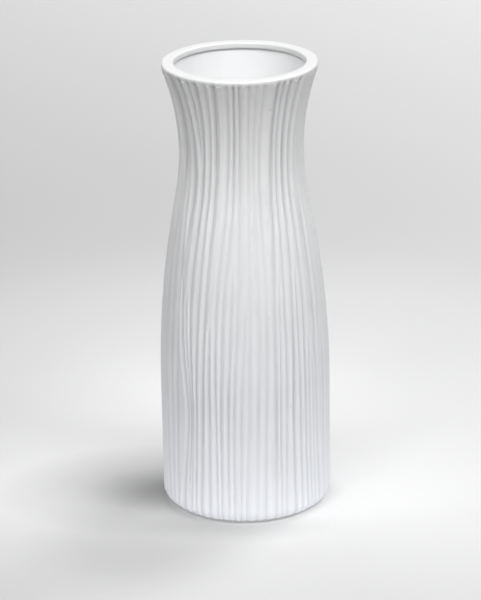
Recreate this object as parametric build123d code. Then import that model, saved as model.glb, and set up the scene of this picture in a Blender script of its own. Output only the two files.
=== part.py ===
from build123d import *
import math
import os
from typing import NamedTuple

# Fluted trumpet vase of white glazed clay, built up from separately formed pieces that are
# joined with slip: a grooved wall, a plain lip, a floor let into the foot and a coil pressed
# into the seam round the floor. It stands on three pads.
# Millimetres. Z is the vase's axis and points up, z = 0 is the table and the front faces -Y.

# Outline of the wall, measured on the crests of the ridges
HEIGHT = 250.0  # table to the top of the lip
BODY_RADIUS = 46.4
SHOULDER_HEIGHT = 70.0  # where the straight body starts to draw in
WAIST_RADIUS = 33.4
WAIST_ARC = 127.0  # hollow curve below the waist
FLARE_ARC = 130.0  # hollow curve above the waist
FLARE_HEIGHT = 45.8  # waist to the underside of the lip
FOOT_ROUND = 6.4
WALL = 4.5

# Bands that the wall is built in: the foot's round, the body, the shoulder, the waist and the flare
FOOT_BANDS = 3
BODY_BANDS = 1
SHOULDER_BANDS = 3
WAIST_BANDS = 2
FLARE_BANDS = 3
INSIDE_FLATS = 48  # short flats round the smooth inside

# Grooves
GROOVE_DEPTH = 1.05  # the deepest ones
GROOVE_WIDTH = 3.8  # from ridge to ridge, where there is room
GROOVE_CROWDING = 0.85  # the share of the way to the next groove that a groove takes at most
GROOVE_FADE = 24.0  # the height over which a short groove dies out

# Lip
LIP_HEIGHT = 3.2
LIP_OVERHANG = 0.2  # past the crests outside
LIP_UNDERCUT = 1.6  # past the wall inside, which leaves a shadow line under the lip
LIP_OUTER_EASE = 1.1  # eased upper edges, outside and inside
LIP_INNER_EASE = 0.8
TONGUE_WIDTH = 1.2
TONGUE_DEPTH = 1.2

# Foot and floor
FOOT_RING = 4.8  # flat width of the ring round the floor
FLOOR_THICKNESS = 7.0
FLOOR_RECESS = 1.0  # the floor's underside above the foot ring
LEDGE_WIDTH = 1.7  # the ledge that the floor is pushed up against
LEDGE_HEIGHT = 3.0
LEDGE_FLAT = 0.4  # level edge on top of the ledge, before the slope up to the wall
COIL_WIDTH = 3.0

# Pads
PAD_COUNT = 3
PAD_RADIUS = 5.5
PAD_PROUD = 0.8  # below the foot ring
PAD_POCKET = 0.5
PAD_EDGE = 4.0  # from a pad to the floor's edge

JOINT_GAP = 0.2  # slip or glue round a seated piece


class Groove(NamedTuple):
    """One groove: its share of the full depth, the height it reaches and the angles it runs through.

    The angles are degrees round from the front, to the right, at even steps from the foot to the lip.
    """

    share: float
    reach: float
    angles: tuple


# The grooves of one half of the vase, from left to right. The other half repeats them half a turn round.
HALF_TURN_GROOVES = (
    Groove(0.7, HEIGHT, (-74, -74, -75, -75, -74.5)),
    Groove(0.7, HEIGHT, (-67, -68, -70, -69, -68)),
    Groove(0.6, HEIGHT, (-56, -54.5, -53, -56, -56.5)),
    Groove(1.0, HEIGHT, (-49.5, -42, -50.5, -49.5, -50)),
    Groove(0.8, HEIGHT, (-42, -38.5, -42, -39, -35.5)),
    Groove(0.7, HEIGHT, (-38, -36, -35, -31.5, -27.5)),
    Groove(1.0, HEIGHT, (-34, -31, -29, -25.5, -20.5)),
    Groove(0.7, 124, (-27, -26, -25, -21, -16.5)),
    Groove(0.6, HEIGHT, (-20.5, -21, -20.5, -14.5, -10)),
    Groove(0.9, HEIGHT, (-18, -17.5, -15.5, -8.5, -5)),
    Groove(0.7, 154, (-13, -12.5, -9.5, -5.5, -3)),
    Groove(0.7, HEIGHT, (-9, -8.5, -5, -2.5, -1)),
    Groove(0.6, 136, (-4.5, -3.5, 0.5, 2, 2.5)),
    Groove(0.6, HEIGHT, (-1, 2, 4, 5.5, 6.5)),
    Groove(0.6, HEIGHT, (6.5, 8.5, 11, 11, 12)),
    Groove(0.6, HEIGHT, (12.5, 14.5, 16.5, 16.5, 18)),
    Groove(1.0, HEIGHT, (20.5, 21.5, 23, 28, 29.5)),
    Groove(0.6, 154, (24.5, 24.5, 26.5, 30, 31.5)),
    Groove(0.7, HEIGHT, (28.5, 29.5, 30.5, 33.5, 34)),
    Groove(1.0, HEIGHT, (36, 35, 37.5, 41, 40.5)),
    Groove(0.7, 154, (42, 41, 41, 45, 45)),
    Groove(0.8, HEIGHT, (47, 45.5, 47, 48.5, 50)),
    Groove(0.6, 112, (51.5, 49.5, 50, 52.5, 54)),
    Groove(1.0, HEIGHT, (60, 56.5, 57, 58.5, 61)),
    Groove(0.7, HEIGHT, (68, 67, 67.5, 67, 68.5)),
    Groove(0.5, HEIGHT, (75, 74.5, 74.5, 75.5, 75.5)),
    Groove(0.7, HEIGHT, (82, 82, 81.5, 81.5, 82)),
    Groove(0.5, HEIGHT, (88, 89, 88, 88.5, 89)),
    Groove(0.7, HEIGHT, (94, 94.5, 95, 94, 94)),
    Groove(0.7, HEIGHT, (101, 100, 101.5, 101, 101)),
)

# Heights and radii that follow
foot_z = PAD_PROUD
seat_z = HEIGHT - LIP_HEIGHT
waist_z = seat_z - FLARE_HEIGHT
floor_radius = BODY_RADIUS - FOOT_ROUND - FOOT_RING
floor_bottom = foot_z + FLOOR_RECESS
floor_top = floor_bottom + FLOOR_THICKNESS
ledge_top = floor_top + LEDGE_HEIGHT
ledge_radius = floor_radius - LEDGE_WIDTH
draw_in = BODY_RADIUS - WAIST_RADIUS
shoulder_rise = waist_z - SHOULDER_HEIGHT
shoulder_arc = (draw_in**2 + shoulder_rise**2) / (2 * draw_in) - WAIST_ARC  # meets the waist's arc smoothly


def turn_height(inset):
    """Height where the outline, moved inwards by inset, turns from the shoulder to the waist."""
    return SHOULDER_HEIGHT + shoulder_rise * (shoulder_arc - inset) / (shoulder_arc + WAIST_ARC)


def outline_radius(z, inset=0.0):
    """Radius of the vase's outline at height z, moved inwards by inset. The foot's round is left out."""
    if z <= SHOULDER_HEIGHT:
        return BODY_RADIUS - inset
    if z <= turn_height(inset):
        bulge = math.sqrt((shoulder_arc - inset) ** 2 - (z - SHOULDER_HEIGHT) ** 2)
        return BODY_RADIUS - shoulder_arc + bulge
    arc = WAIST_ARC if z <= waist_z else FLARE_ARC
    hollow = math.sqrt((arc + inset) ** 2 - (z - waist_z) ** 2)
    return WAIST_RADIUS + arc - hollow


def groove_angle(groove, share):
    """Angle of a groove, in radians, at a share of the wall's height, on a smooth curve through its angles."""
    angles = groove.angles
    steps = len(angles) - 1
    step = min(int(share * steps), steps - 1)
    t = share * steps - step
    start, end = angles[step], angles[step + 1]
    leave = (end - angles[max(step - 1, 0)]) / 2
    arrive = (angles[min(step + 2, steps)] - start) / 2
    bend = 3 * (end - start) - 2 * leave - arrive
    settle = 2 * (start - end) + leave + arrive
    return math.radians(start + leave * t + bend * t**2 + settle * t**3)


def groove_depth(groove, z):
    """Depth of a groove at height z: short grooves die out below their reach."""
    if groove.reach >= HEIGHT:
        return GROOVE_DEPTH * groove.share
    left = (groove.reach - z) / GROOVE_FADE
    return GROOVE_DEPTH * groove.share * min(max(left, 0.0), 1.0)


def half_width(gap, radius):
    """Half the angle that a groove spans on a side where the next groove is a gap away."""
    return min(GROOVE_WIDTH / 2 / radius, GROOVE_CROWDING * (gap % (2 * math.pi)) / 2)


def ridge_section(z, radius):
    """Closed outline of the ridges at height z: a flat over each ridge and a notch for each groove."""
    share = (z - foot_z) / (seat_z - foot_z)
    half_turn = [groove_angle(groove, share) for groove in HALF_TURN_GROOVES]
    angles = [*half_turn, *(angle + math.pi for angle in half_turn)]
    depths = [groove_depth(groove, z) for groove in HALF_TURN_GROOVES] * 2

    def at(angle, r):
        return Vector(r * math.sin(angle), -r * math.cos(angle), z)

    points = []
    for index, (angle, depth) in enumerate(zip(angles, depths)):
        left = half_width(angle - angles[index - 1], radius)
        right = half_width(angles[(index + 1) % len(angles)] - angle, radius)
        points.append(at(angle - left, radius))
        points.append(at(angle, radius - depth))
        points.append(at(angle + right, radius))
    return Wire.make_polygon(points)


def steps_between(low, high, bands):
    """Even steps from low to high, one for the start of each band."""
    return [low + (high - low) * step / bands for step in range(bands)]


def upper_heights(inset):
    """Heights of the sections from the shoulder to the lip's seat, on the outline moved inwards by inset."""
    turn = turn_height(inset)
    heights = steps_between(SHOULDER_HEIGHT, turn, SHOULDER_BANDS)
    heights += steps_between(turn, waist_z, WAIST_BANDS)
    heights += steps_between(waist_z, seat_z, FLARE_BANDS)
    return [*heights, seat_z]


def ridges():
    """The wall's outside, not yet hollow: sections through the foot's round, the body and the flared neck."""
    sections = []
    for lean in steps_between(0.0, math.pi / 2, FOOT_BANDS):
        z = foot_z + FOOT_ROUND * (1 - math.cos(lean))
        sections.append(ridge_section(z, BODY_RADIUS - FOOT_ROUND * (1 - math.sin(lean))))
    body_heights = steps_between(foot_z + FOOT_ROUND, SHOULDER_HEIGHT, BODY_BANDS)
    for z in [*body_heights, *upper_heights(0.0)]:
        sections.append(ridge_section(z, outline_radius(z)))
    return Solid.make_loft(sections, ruled=True)


def inside_section(z, radius):
    """Closed outline of the wall's inside at height z, in short flats that keep the solid light."""
    corners = PolarLocations(radius, INSIDE_FLATS)
    return Wire.make_polygon([corner.position + Vector(0, 0, z) for corner in corners])


def hollow():
    """The hollow: the rebate for the floor, the ledge over it, a slope and the wall's inside."""
    cavity = BODY_RADIUS - WALL
    slope_foot = ledge_radius + LEDGE_FLAT
    slope_top = ledge_top + cavity - slope_foot
    sections = [inside_section(ledge_top, slope_foot), inside_section(slope_top, cavity)]
    sections += [inside_section(z, outline_radius(z, WALL)) for z in upper_heights(WALL)]
    upright = (Align.CENTER, Align.CENTER, Align.MIN)
    rebate = Pos(0, 0, foot_z) * Cylinder(floor_radius + JOINT_GAP, floor_top - foot_z, align=upright)
    ledge = Pos(0, 0, foot_z) * Cylinder(ledge_radius, ledge_top - foot_z, align=upright)
    return rebate + ledge + Solid.make_loft(sections, ruled=True)


def tongue_ring(width, depth):
    """Ring below the lip's seat, centred on the wall: the lip's tongue, or with its gap the groove for it."""
    middle = (outline_radius(seat_z) + outline_radius(seat_z, WALL)) / 2
    outside = Cylinder(middle + width / 2, depth, align=(Align.CENTER, Align.CENTER, Align.MAX))
    inside = Cylinder(middle - width / 2, depth, align=(Align.CENTER, Align.CENTER, Align.MAX))
    return Pos(0, 0, seat_z) * (outside - inside)


def fluted_wall():
    """The grooved wall, hollow right through, with a rebate for the floor and a groove for the lip's tongue."""
    tongue_groove = tongue_ring(TONGUE_WIDTH + 2 * JOINT_GAP, TONGUE_DEPTH + JOINT_GAP)
    return ridges() - hollow() - tongue_groove


def lip_ring():
    """The plain lip: a ring with eased upper edges that lies on the wall's top edge and overhangs it inside."""
    outer = outline_radius(seat_z) + LIP_OVERHANG
    inner = outline_radius(seat_z, WALL) - LIP_UNDERCUT
    band = Pos((inner + outer) / 2, seat_z + LIP_HEIGHT / 2) * Rectangle(outer - inner, LIP_HEIGHT)
    outer_top = band.vertices().group_by(Axis.X)[-1].sort_by(Axis.Y)[-1]
    band = chamfer(outer_top, LIP_OUTER_EASE)
    inner_top = band.vertices().group_by(Axis.X)[0].sort_by(Axis.Y)[-1]
    band = chamfer(inner_top, LIP_INNER_EASE)
    return revolve(Plane.XZ * band, Axis.Z) + tongue_ring(TONGUE_WIDTH, TONGUE_DEPTH)


def pad_places():
    """Places of the pads on the table, the first one at the back."""
    circle = floor_radius - PAD_EDGE - PAD_RADIUS
    return PolarLocations(circle, PAD_COUNT, start_angle=90)


def floor_disc():
    """The floor, pushed up into the foot's rebate against the ledge, with a shallow pocket for each pad."""
    disc = Cylinder(floor_radius, FLOOR_THICKNESS, align=(Align.CENTER, Align.CENTER, Align.MIN))
    pocket = Cylinder(PAD_RADIUS + JOINT_GAP, PAD_POCKET, align=(Align.CENTER, Align.CENTER, Align.MIN))
    return Pos(0, 0, floor_bottom) * (disc - pad_places() * pocket)


def seam_coil():
    """Coil smoothed into the corner of the ledge and the floor, which closes the seam."""
    outer = ledge_radius - JOINT_GAP
    corner = (outer, floor_top)
    toe = (outer - COIL_WIDTH, floor_top)
    heel = (outer, floor_top + COIL_WIDTH)
    section = make_face(Plane.XZ * Polyline(corner, heel, toe, corner))
    return revolve(section, Axis.Z)


def foot_pads():
    """The pads, stuck in their pockets and standing proud of the foot ring."""
    thickness = floor_bottom + PAD_POCKET
    pad = Cylinder(PAD_RADIUS, thickness, align=(Align.CENTER, Align.CENTER, Align.MIN))
    return Compound(children=[place * pad for place in pad_places()])


os.makedirs("parts", exist_ok=True)
pieces = {
    "fluted_wall": fluted_wall(),
    "lip_ring": lip_ring(),
    "floor_disc": floor_disc(),
    "seam_coil": seam_coil(),
    "foot_pads": foot_pads(),
}
for name, piece in pieces.items():
    export_step(piece, f"parts/{name}.step")
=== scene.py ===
import bisect
import logging
import math
from dataclasses import dataclass, replace
from enum import Enum

import bmesh
import bpy
from mathutils import Matrix, Vector, noise


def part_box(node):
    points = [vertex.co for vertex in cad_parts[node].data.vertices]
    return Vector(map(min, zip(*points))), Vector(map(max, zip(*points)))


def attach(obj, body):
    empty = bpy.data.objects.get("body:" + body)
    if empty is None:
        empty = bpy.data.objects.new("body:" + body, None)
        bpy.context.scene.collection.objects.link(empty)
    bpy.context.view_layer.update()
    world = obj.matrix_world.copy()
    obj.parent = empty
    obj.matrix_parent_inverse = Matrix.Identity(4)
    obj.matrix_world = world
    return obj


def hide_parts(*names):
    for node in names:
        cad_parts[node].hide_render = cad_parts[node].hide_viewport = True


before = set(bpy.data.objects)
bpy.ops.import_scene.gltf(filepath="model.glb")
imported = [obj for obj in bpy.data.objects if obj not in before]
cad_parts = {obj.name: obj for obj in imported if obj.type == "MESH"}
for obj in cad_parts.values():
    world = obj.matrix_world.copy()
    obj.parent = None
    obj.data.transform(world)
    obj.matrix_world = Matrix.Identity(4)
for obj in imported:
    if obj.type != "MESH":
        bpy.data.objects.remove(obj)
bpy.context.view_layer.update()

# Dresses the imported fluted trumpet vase: a wall with wood-grain grooves, a rounded lip, a floor
# with its pressed seam and three pads, on a pale floor under soft studio light.
# Metres, +Z up. The vase's front faces -Y, and angles run from the front to the right.

MM = 0.001
BODY = "root"
LOG = logging.getLogger("vase")
MERGE = 0.001 * MM  # points this close together are one
CREASE = 55.0  # degrees past which an edge stays sharp

Pair = tuple[float, float]
Point = tuple[float, float, float]
Rgba = tuple[float, float, float, float]
Stops = tuple[Pair, ...]
Socket = bpy.types.NodeSocket
Input = Socket | float | Point | Rgba
Inputs = dict[str | int, Input]
Material = bpy.types.Material
BMesh = bmesh.types.BMesh


class Slot(Enum):
    """The record's material slots."""

    WALL = "wall_glaze"
    LIP = "lip_glaze"
    SEAM = "seam_glaze"
    PAD = "pad_rubber"


class Cut(Enum):
    """How deep a groove of the grain is cut, as a share of the deepest."""

    DEEP = 1.0
    PLAIN = 0.72
    SHALLOW = 0.45


@dataclass(frozen=True)
class GrainLine:
    """One groove of the wood grain.

    Attributes:
        angles: Degrees round from the front at even heights from the foot to the lip.
        cut: How deep it is at the foot.
        top: How deep it is at the lip.
        start: Share of the wall's height where it begins.
        end: Share of the wall's height where it dies out.
        broad: How much wider than others its left and its right flank are.
    """

    angles: tuple[float, ...]
    cut: Cut = Cut.PLAIN
    top: Cut = Cut.PLAIN
    start: float = 0.0
    end: float = 1.0
    broad: Pair = (1.0, 1.0)


# The grooves of one half of the vase, from left to right. The other half repeats them.
HALF_TURN = (
    GrainLine((-74, -74, -75, -75, -74.5), top=Cut.SHALLOW),
    GrainLine((-67, -68, -70, -69, -68), top=Cut.SHALLOW, end=0.75),
    GrainLine((-66, -66, -66, -66, -65), Cut.DEEP, Cut.DEEP, start=0.72, broad=(1.0, 4.5)),
    GrainLine((-61, -60, -61, -62, -62), Cut.SHALLOW, Cut.SHALLOW, end=0.7),
    GrainLine((-56, -54.5, -53, -56, -56.5), top=Cut.SHALLOW),
    GrainLine((-49.5, -42, -50.5, -49.5, -50), Cut.DEEP, Cut.DEEP, end=0.6),
    GrainLine((-49, -43, -50.5, -49.5, -52), Cut.DEEP, Cut.DEEP, start=0.58, broad=(1.2, 1.5)),
    GrainLine((-44.5, -40, -45, -44, -43), Cut.DEEP, start=0.02, end=0.55),
    GrainLine((-43, -39, -43, -39, -42.5), start=0.76),
    GrainLine((-42, -38.5, -42, -39, -35.5), top=Cut.DEEP),
    GrainLine((-38, -36, -35, -31.5, -27.5), top=Cut.SHALLOW),
    GrainLine((-34, -31, -29, -25.5, -20.5), Cut.DEEP, Cut.DEEP),
    GrainLine((-27, -26, -25, -21, -16.5), end=0.5),
    GrainLine((-20.5, -21, -20.5, -14.5, -10), top=Cut.SHALLOW),
    GrainLine((-18, -17.5, -15.5, -8.5, -5)),
    GrainLine((-13, -12.5, -9.5, -5.5, -3), end=0.62),
    GrainLine((-9, -8.5, -5, -2.5, -1)),
    GrainLine((-4.5, -3.5, 0.5, 2, 2.5), top=Cut.SHALLOW, end=0.55),
    GrainLine((-1, 2, 4, 5.5, 6.5), top=Cut.SHALLOW),
    GrainLine((6.5, 8.5, 11, 11, 12), top=Cut.SHALLOW),
    GrainLine((12.5, 14.5, 16.5, 16.5, 18), top=Cut.SHALLOW),
    GrainLine((20.5, 21.5, 23, 28, 29.5), Cut.DEEP, Cut.DEEP),
    GrainLine((24.5, 24.5, 26.5, 30, 31.5), top=Cut.SHALLOW, end=0.62),
    GrainLine((28.5, 29.5, 30.5, 33.5, 34)),
    GrainLine((36, 35, 37.5, 41, 40.5), Cut.DEEP, Cut.DEEP),
    GrainLine((42, 41, 41, 45, 45), end=0.62),
    GrainLine((47, 45.5, 47, 48.5, 50), top=Cut.DEEP),
    GrainLine((51.5, 49.5, 50, 52.5, 54), top=Cut.SHALLOW, end=0.45),
    GrainLine((55, 53, 53, 55, 57), top=Cut.SHALLOW, end=0.4),
    GrainLine((60, 56.5, 57, 58.5, 61), Cut.DEEP, end=0.5),
    GrainLine((60, 57, 58.5, 59.5, 61), Cut.DEEP, Cut.DEEP, start=0.36, end=0.76, broad=(3.0, 0.8)),
    GrainLine((68, 67, 67.5, 67, 68.5), top=Cut.SHALLOW, end=0.45),
    GrainLine((75, 74.5, 74.5, 75.5, 75.5), Cut.SHALLOW, Cut.SHALLOW),
    GrainLine((82, 82, 81.5, 81.5, 82)),
    GrainLine((88, 89, 88, 88.5, 89), Cut.SHALLOW, Cut.SHALLOW),
    GrainLine((94, 94.5, 95, 94, 94)),
    GrainLine((101, 100, 101.5, 101, 101)),
)


@dataclass(frozen=True)
class Notch:
    """A groove where one row of the wall crosses it.

    Attributes:
        angle: Degrees round from the front.
        depth: Depth, in metres.
        broad: How much wider than others its left and its right flank are.
        left: Degrees that its flank reaches to the left.
        right: Degrees that its flank reaches to the right.
    """

    angle: float
    depth: float
    broad: Pair = (1.0, 1.0)
    left: float = 0.0
    right: float = 0.0


@dataclass(frozen=True)
class Outline:
    """Half outline of the vase's wall, measured on the ridge crests.

    Attributes:
        foot: Height of the foot ring.
        seat: Height of the lip's seat.
        body: Radius of the straight body.
        shoulder: Height where the body starts to draw in.
        waist: Radius of the narrowest place.
        waist_arc: Radius of the hollow curve below the waist.
        flare_arc: Radius of the hollow curve above the waist.
        flare_height: Height from the waist to the lip's seat.
        foot_round: Radius of the rounded foot.
        wall: Thickness of the wall.
    """

    foot: float
    seat: float
    body: float
    shoulder: float = 70.0 * MM
    waist: float = 33.4 * MM
    waist_arc: float = 127.0 * MM
    flare_arc: float = 130.0 * MM
    flare_height: float = 45.8 * MM
    foot_round: float = 6.4 * MM
    wall: float = 4.5 * MM

    @classmethod
    def from_frame(cls) -> "Outline":
        """Take the foot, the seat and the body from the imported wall."""
        low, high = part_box("fluted_wall")
        return cls(foot=low.z, seat=high.z, body=max(high.x, high.y))

    @property
    def waist_height(self) -> float:
        """Height of the narrowest place."""
        return self.seat - self.flare_height

    @property
    def shoulder_arc(self) -> float:
        """Radius of the shoulder's curve.

        Returns:
            The radius with which it meets the waist's curve smoothly.
        """
        draw_in = self.body - self.waist
        rise = self.waist_height - self.shoulder
        return (draw_in**2 + rise**2) / (2 * draw_in) - self.waist_arc

    def radius(self, z: float, inset: float = 0.0) -> float:
        """Radius of the outline, moved inwards, without the foot's round.

        Args:
            z: Height.
            inset: How far the outline is moved inwards.

        Returns:
            The radius at that height.
        """
        rise = self.waist_height - self.shoulder
        bulge = self.shoulder_arc - inset
        turn = self.shoulder + rise * bulge / (self.shoulder_arc + self.waist_arc)
        if z <= self.shoulder:
            return self.body - inset
        if z <= turn:
            return self.body - self.shoulder_arc + math.sqrt(bulge**2 - (z - self.shoulder) ** 2)
        arc = self.waist_arc if z <= self.waist_height else self.flare_arc
        hollow = math.sqrt((arc + inset) ** 2 - (z - self.waist_height) ** 2)
        return self.waist + arc - hollow

    def share(self, z: float) -> float:
        """Height as a share of the wall, from 0 at the foot to 1 at the lip's seat."""
        return min(max((z - self.foot) / (self.seat - self.foot), 0.0), 1.0)


@dataclass(frozen=True)
class WoodGrain:
    """The field of wandering grooves that is pressed into the wall.

    Attributes:
        depth: Depth of the deepest grooves.
        flank: Share of the way to the next groove that a groove's flank reaches.
        widest: Widest flank of a groove.
        narrowest: Narrowest flank of a groove.
        shut: Share of the full depth past which a groove bounds its neighbours' flanks.
        gains: How much deeper or shallower the grooves are at even heights from the foot to the lip.
        fade: Share of the height over which a short groove dies out.
        wander: Degrees by which a groove sways beside its line.
        swell: How much a groove's depth comes and goes, as a share.
        sway_length: Height in which a groove sways once.
        unevenness: How much lower some ridges lie than others.
        dip_width: Degrees round over which the ridges' height changes.
        dip_height: Height over which it changes.
        LINE_STEP: Step in the noise from one groove to the next.
        HALF_STEP: Step from one half of the vase to the other.
        SWELL_STEP: Step from a groove's sway to its swell.
        NEIGHBOURS: Number of grooves on a side that can bound a flank.
    """

    depth: float = 1.1 * MM
    flank: float = 0.5
    widest: float = 2.5 * MM
    narrowest: float = 1.0 * MM
    shut: float = 0.3
    gains: tuple[float, ...] = (0.9, 1.02, 1.3, 1.17, 0.74, 0.72, 1.25, 1.5, 1.5)
    fade: float = 0.12
    wander: float = 0.3
    swell: float = 0.3
    sway_length: float = 38.0 * MM
    unevenness: float = 0.3 * MM
    dip_width: float = 9.0
    dip_height: float = 90.0 * MM

    LINE_STEP = 3.7
    HALF_STEP = 51.0
    SWELL_STEP = (0.0, 7.0, 0.0)
    NEIGHBOURS = 3

    @staticmethod
    def curve(values: tuple[float, ...], share: float) -> float:
        """Value on a smooth curve up the wall.

        Args:
            values: Values at even heights from the foot to the lip.
            share: Share of the wall's height.

        Returns:
            The value at that share.
        """
        last = len(values) - 1
        step = min(int(share * last), last - 1)
        t = share * last - step
        start, end = values[step], values[step + 1]
        leave = (end - values[max(step - 1, 0)]) / 2
        arrive = (values[min(step + 2, last)] - start) / 2
        bend = 3 * (end - start) - 2 * leave - arrive
        settle = 2 * (start - end) + leave + arrive
        return start + leave * t + bend * t**2 + settle * t**3

    def strength(self, line: GrainLine, share: float) -> float:
        """How far a short groove has died out.

        Args:
            line: The groove.
            share: Share of the wall's height.

        Returns:
            The share of its depth that it has there.
        """
        fade_in = 1.0 if line.start <= 0.0 else (share - line.start) / self.fade
        fade_out = 1.0 if line.end >= 1.0 else (line.end - share) / self.fade
        left = min(max(min(fade_in, fade_out), 0.0), 1.0)
        return left * left * (3 - 2 * left)

    def notches(self, share: float, z: float, radius: float) -> list[Notch]:
        """All grooves of the full turn where a row crosses them, in order of angle.

        Args:
            share: Share of the wall's height.
            z: The row's height.
            radius: Radius of the crests in the row.

        Returns:
            One notch for each groove.
        """
        row = []
        gain = self.curve(self.gains, share)
        for half in range(2):
            for index, line in enumerate(HALF_TURN):
                place = Vector((self.LINE_STEP * index, self.HALF_STEP * half, z / self.sway_length))
                angle = self.curve(line.angles, share) + 180.0 * half + self.wander * noise.noise(place)
                swell = 1.0 + self.swell * noise.noise(place + Vector(self.SWELL_STEP))
                cut = line.cut.value + (line.top.value - line.cut.value) * share
                depth = self.depth * cut * swell * gain * self.strength(line, share)
                row.append(Notch(angle, depth, line.broad))
        row.sort(key=lambda notch: notch.angle)
        whole = []
        for index, notch in enumerate(row):
            left, right = (self.reach(row, index, step, radius) for step in (-1, 1))
            whole.append(replace(notch, left=left, right=right))
        return whole

    def reach(self, row: list[Notch], index: int, step: int, radius: float) -> float:
        """Degrees that a groove's flank reaches.

        Args:
            row: The grooves in order.
            index: The groove.
            step: 1 for its right flank and -1 for its left one.
            radius: Radius of the crests in the row.

        Returns:
            The flank's width, which leaves room for the next groove.
        """
        narrowest = math.degrees(self.narrowest / radius)
        widest = math.degrees(self.widest / radius)
        broad = row[index].broad[0 if step < 0 else 1]
        return broad * min(max(self.flank * self.gap(row, index, step), narrowest), widest)

    def gap(self, row: list[Notch], index: int, step: int) -> float:
        """Degrees from a groove to the next one, past grooves that are dying out.

        Args:
            row: The grooves in order.
            index: The groove that the gap is measured from.
            step: 1 for the gap on its right and -1 for the one on its left.

        Returns:
            The gap, which grows smoothly as the next groove dies out.
        """
        gap, open_share = 0.0, 1.0
        for count in range(1, self.NEIGHBOURS + 1):
            other = row[(index + step * count) % len(row)]
            away = (step * (other.angle - row[index].angle)) % 360.0
            closed = min(other.depth / (self.shut * self.depth), 1.0)
            gap += open_share * closed * away
            open_share *= 1.0 - closed
        return gap + open_share * away

    def dip(self, column: float, z: float) -> float:
        """How much lower the ridges lie at a column, in degrees, and a height."""
        spot = Vector((column / self.dip_width, 0.0, z / self.dip_height))
        return self.unevenness * (0.5 + 0.5 * noise.noise(spot))

    def reference(self) -> list[float]:
        """Mean angle of each groove of the full turn, in order."""
        halves = [sum(line.angles) / len(line.angles) for line in HALF_TURN]
        return sorted([*halves, *(angle + 180.0 for angle in halves)])


@dataclass(frozen=True)
class GrainRow:
    """One row of the wall: it leads the columns along the grooves and tells their depth.

    Attributes:
        reference: Mean angles of the grooves.
        notches: The grooves where this row crosses them.
        REACH: Number of grooves on each side that can touch an angle.
        BURR: Height of the burr beside a groove, as a share of the groove's depth.
        BURR_PLACE: Distance of the burr's crest from the groove, in flank widths.
        BURR_WIDTH: Half the burr's width, in flank widths.
        BURR_END: Depth of another groove at which a burr has gone.
    """

    reference: list[float]
    notches: list[Notch]

    REACH = 3
    BURR = 0.25
    BURR_PLACE = 1.1
    BURR_WIDTH = 0.6
    BURR_END = 0.3 * MM

    def lead(self, angle: float) -> float:
        """Lead a column along the grooves.

        Args:
            angle: Mean angle of the column, in degrees round from the front.

        Returns:
            The angle at which it crosses this row.
        """
        first = self.reference[0]
        turned = (angle - first) % 360.0 + first
        left = bisect.bisect_right(self.reference, turned) - 1
        right = (left + 1) % len(self.reference)
        wrap = 360.0 if right == 0 else 0.0
        gap = self.reference[right] + wrap - self.reference[left]
        t = (turned - self.reference[left]) / gap
        low, high = self.notches[left].angle, self.notches[right].angle + wrap
        return low + t * (high - low)

    def depth(self, angle: float) -> float:
        """Depth of the grain at an angle of this row.

        Args:
            angle: Degrees round from the front.

        Returns:
            The depth of the deepest groove there, or below zero on the burr beside a groove.
        """
        first = self.notches[0].angle
        turned = (angle - first) % 360.0 + first
        nearest = bisect.bisect_right(self.notches, turned, key=lambda notch: notch.angle)
        deepest, burr = 0.0, 0.0
        for index in range(nearest - self.REACH, nearest + self.REACH):
            notch = self.notches[index % len(self.notches)]
            off = (turned - notch.angle + 180.0) % 360.0 - 180.0
            out = abs(off) / (notch.right if off > 0.0 else notch.left)
            if out < 1.0:
                deepest = max(deepest, notch.depth * (1.0 - out) ** 2)
            beside = 1.0 - ((out - self.BURR_PLACE) / self.BURR_WIDTH) ** 2
            if beside > 0.0:
                burr = max(burr, self.BURR * notch.depth * beside**2)
        return deepest - burr * (1.0 - min(deepest / self.BURR_END, 1.0))


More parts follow.
